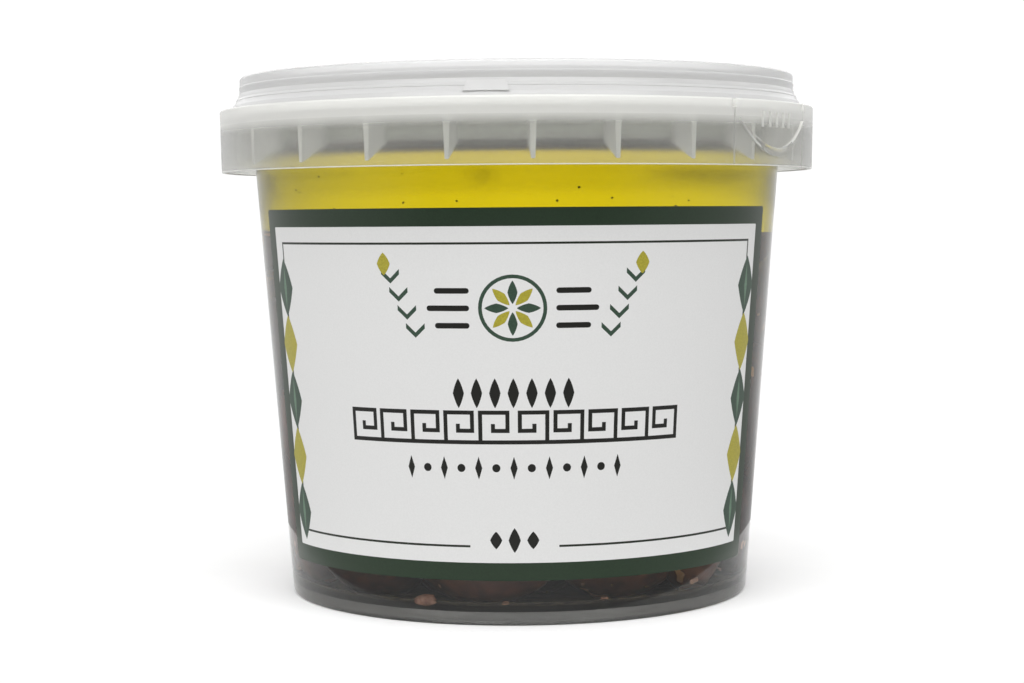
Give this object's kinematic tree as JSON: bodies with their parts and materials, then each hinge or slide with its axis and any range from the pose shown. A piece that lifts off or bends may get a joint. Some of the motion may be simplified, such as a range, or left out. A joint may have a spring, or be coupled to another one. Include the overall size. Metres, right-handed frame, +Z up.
{
  "type": "tub of olives in oil",
  "caption": "Shut clear plastic tub with a tamper ring, frosted snap lid and wrapped label, holding a heap of pitted dark olives under a layer of yellow oil.",
  "frame": {"origin": "middle of the foot, on the plane the tub stands on", "axes": "+Z up along the tub's own axis; -Y out through the front of the label; +X to the right of someone facing the label"},
  "size_m": [0.098, 0.098, 0.0847],
  "materials": {
    "clear_plastic": "clear injection-moulded polypropylene, glossy with a slight haze",
    "frosted_plastic": "frosted translucent polypropylene",
    "label": "satin printed film, off-white panel in a dark green border",
    "olive_skin": "wet dark purple-brown olive skin",
    "oil": "clear golden-yellow oil"
  },
  "bodies": {
    "root": {"tub": "clear_plastic", "lid": "frosted_plastic", "label": "label", "olives": "olive_skin", "oil": "oil"}
  },
  "joints": []
}
